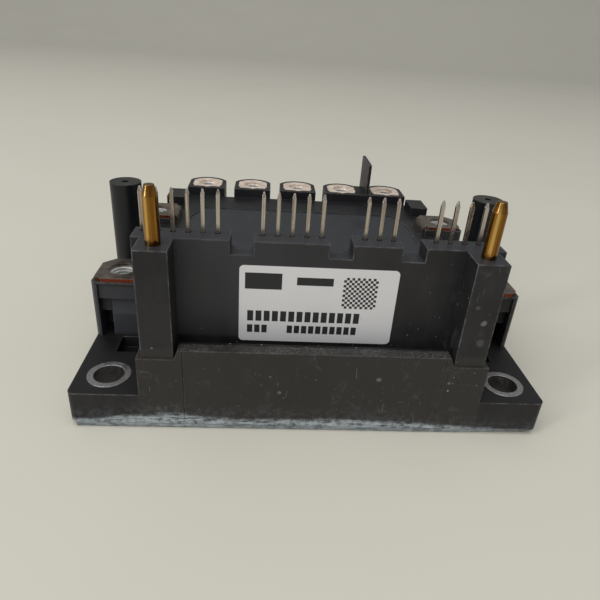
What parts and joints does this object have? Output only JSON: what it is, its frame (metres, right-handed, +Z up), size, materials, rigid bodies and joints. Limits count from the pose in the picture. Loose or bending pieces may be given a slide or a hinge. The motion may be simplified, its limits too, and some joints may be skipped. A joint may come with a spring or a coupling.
{
  "type": "power semiconductor module",
  "caption": "Flat power transistor module: black moulded case with tall pin header, guide pins, board posts, screw terminals at the sides and back, and a metal base plate.",
  "frame": {"origin": "middle of the base plate's underside, on the heatsink", "axes": "+Z up from the heatsink, -Y towards the pin header, +X to the right as seen from the header side"},
  "size_m": [0.088, 0.103, 0.0453],
  "materials": {
    "case_plastic": "satin-matt black moulded polymer with fine texture, scuffs and white dust",
    "lid_plastic": "matt dark grey moulded polymer, a little lighter than the case",
    "label_foil": "matt silver foil label with plain printed bars",
    "plate_nickel": "nickel-plated copper plate, fine machining marks, smeared with grey paste at its edge",
    "bush_steel": "plain turned steel, light grey, scuffed by washers",
    "guide_brass": "drawn golden-brown brass with lengthwise streaks",
    "pin_tin": "tin-plated square wire, warm grey",
    "terminal_copper": "plated copper strip with bare copper-red cut edges",
    "nut_steel": "bright zinc-plated steel",
    "substrate_ceramic": "white ceramic with copper tracks and soldered chips",
    "board_green": "green solder-masked circuit board",
    "chip_black": "black moulded chip packages with tinned leads",
    "gel": "clear soft silicone gel"
  },
  "bodies": {
    "root": {"base_plate": "plate_nickel", "case": "case_plastic", "lid": "lid_plastic", "label": "label_foil", "bush_left_front": "bush_steel", "bush_left_back": "bush_steel", "bush_right_front": "bush_steel", "bush_right_back": "bush_steel", "header_block": "case_plastic", "terminal_row": "case_plastic", "post_left": "case_plastic", "post_right": "case_plastic", "guide_pin_left": "guide_brass", "guide_pin_right": "guide_brass", "control_pin_01": "pin_tin", "control_pin_02": "pin_tin", "control_pin_03": "pin_tin", "control_pin_04": "pin_tin", "control_pin_05": "pin_tin", "control_pin_06": "pin_tin", "control_pin_07": "pin_tin", "control_pin_08": "pin_tin", "control_pin_09": "pin_tin", "control_pin_10": "pin_tin", "control_pin_11": "pin_tin", "control_pin_12": "pin_tin", "control_pin_13": "pin_tin", "control_pin_14": "pin_tin", "control_pin_15": "pin_tin", "control_pin_16": "pin_tin", "control_pin_17": "pin_tin", "control_pin_18": "pin_tin", "control_pin_19": "pin_tin", "terminal_left_front": "terminal_copper", "terminal_left_back": "terminal_copper", "terminal_right_front": "terminal_copper", "terminal_right_back": "terminal_copper", "terminal_back_1": "terminal_copper", "terminal_back_2": "terminal_copper", "terminal_back_3": "terminal_copper", "terminal_back_4": "terminal_copper", "terminal_back_5": "terminal_copper", "nut_left_front": "nut_steel", "nut_left_back": "nut_steel", "nut_right_front": "nut_steel", "nut_right_back": "nut_steel", "nut_back_1": "nut_steel", "nut_back_2": "nut_steel", "nut_back_3": "nut_steel", "nut_back_4": "nut_steel", "nut_back_5": "nut_steel", "substrate_u": "substrate_ceramic", "substrate_v": "substrate_ceramic", "substrate_w": "substrate_ceramic", "control_board": "board_green", "driver_chip_u": "chip_black", "driver_chip_v": "chip_black", "driver_chip_w": "chip_black", "driver_chip_low": "chip_black", "silicone_gel": "gel"}
  },
  "joints": []
}
